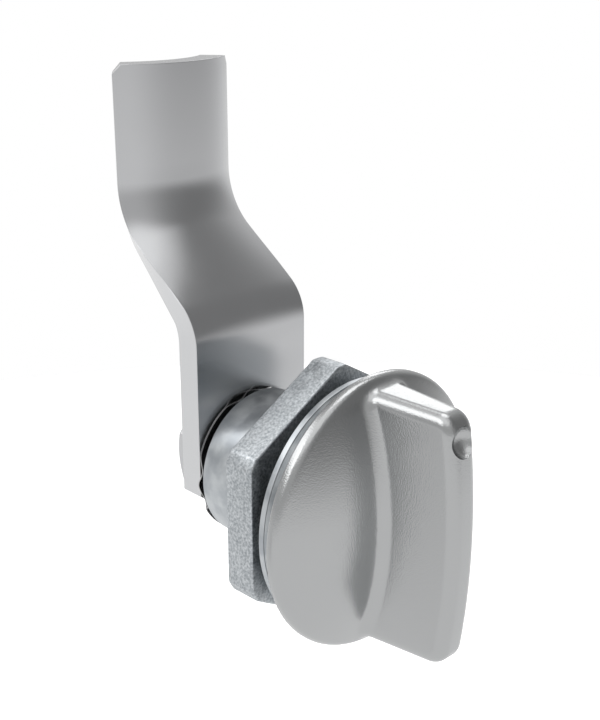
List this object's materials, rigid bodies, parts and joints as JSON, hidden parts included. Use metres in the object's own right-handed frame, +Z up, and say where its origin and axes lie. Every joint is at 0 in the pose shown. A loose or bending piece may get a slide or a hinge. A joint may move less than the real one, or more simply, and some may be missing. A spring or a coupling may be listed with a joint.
{
  "type": "quarter-turn cam latch",
  "caption": "Quarter-turn cam latch: a round wing knob on a flanged, threaded barrel with a hexagon nut turns a cranked cam behind a sheet door.",
  "frame": {"origin": "on the turning axis, in the plane of the flange's rear face, which sits on the outside of the door", "axes": "+Y along the turning axis into the cabinet, +Z up along the cam at rest, +X to the right of someone who faces the knob"},
  "size_m": [0.0368, 0.0557, 0.072],
  "materials": {
    "housing_steel": "smooth polished stainless steel",
    "knob_steel": "bead-blasted stainless steel with a fine grain",
    "washer_plastic": "natural nylon",
    "seal_rubber": "black rubber",
    "spring_steel": "bright spring steel",
    "nut_zinc": "blasted, mottled grey zinc coat on steel",
    "cam_steel": "smooth satin stainless steel",
    "screw_steel": "satin stainless steel"
  },
  "bodies": {
    "latch_base": {"housing": "housing_steel", "flange_seal": "seal_rubber", "hex_nut": "nut_zinc", "thrust_washer": "washer_plastic", "wave_washer": "spring_steel"},
    "latch_rotor": {"wing_knob": "knob_steel", "spindle_seal": "seal_rubber", "retaining_ring": "spring_steel", "cam": "cam_steel", "cam_screw": "screw_steel"}
  },
  "joints": [
    {"name": "knob_turn", "type": "hinge", "parent": "latch_base", "child": "latch_rotor", "pos_m": [0, 0, 0], "axis": [0, 1, 0], "range_deg": [0, 90]}
  ]
}
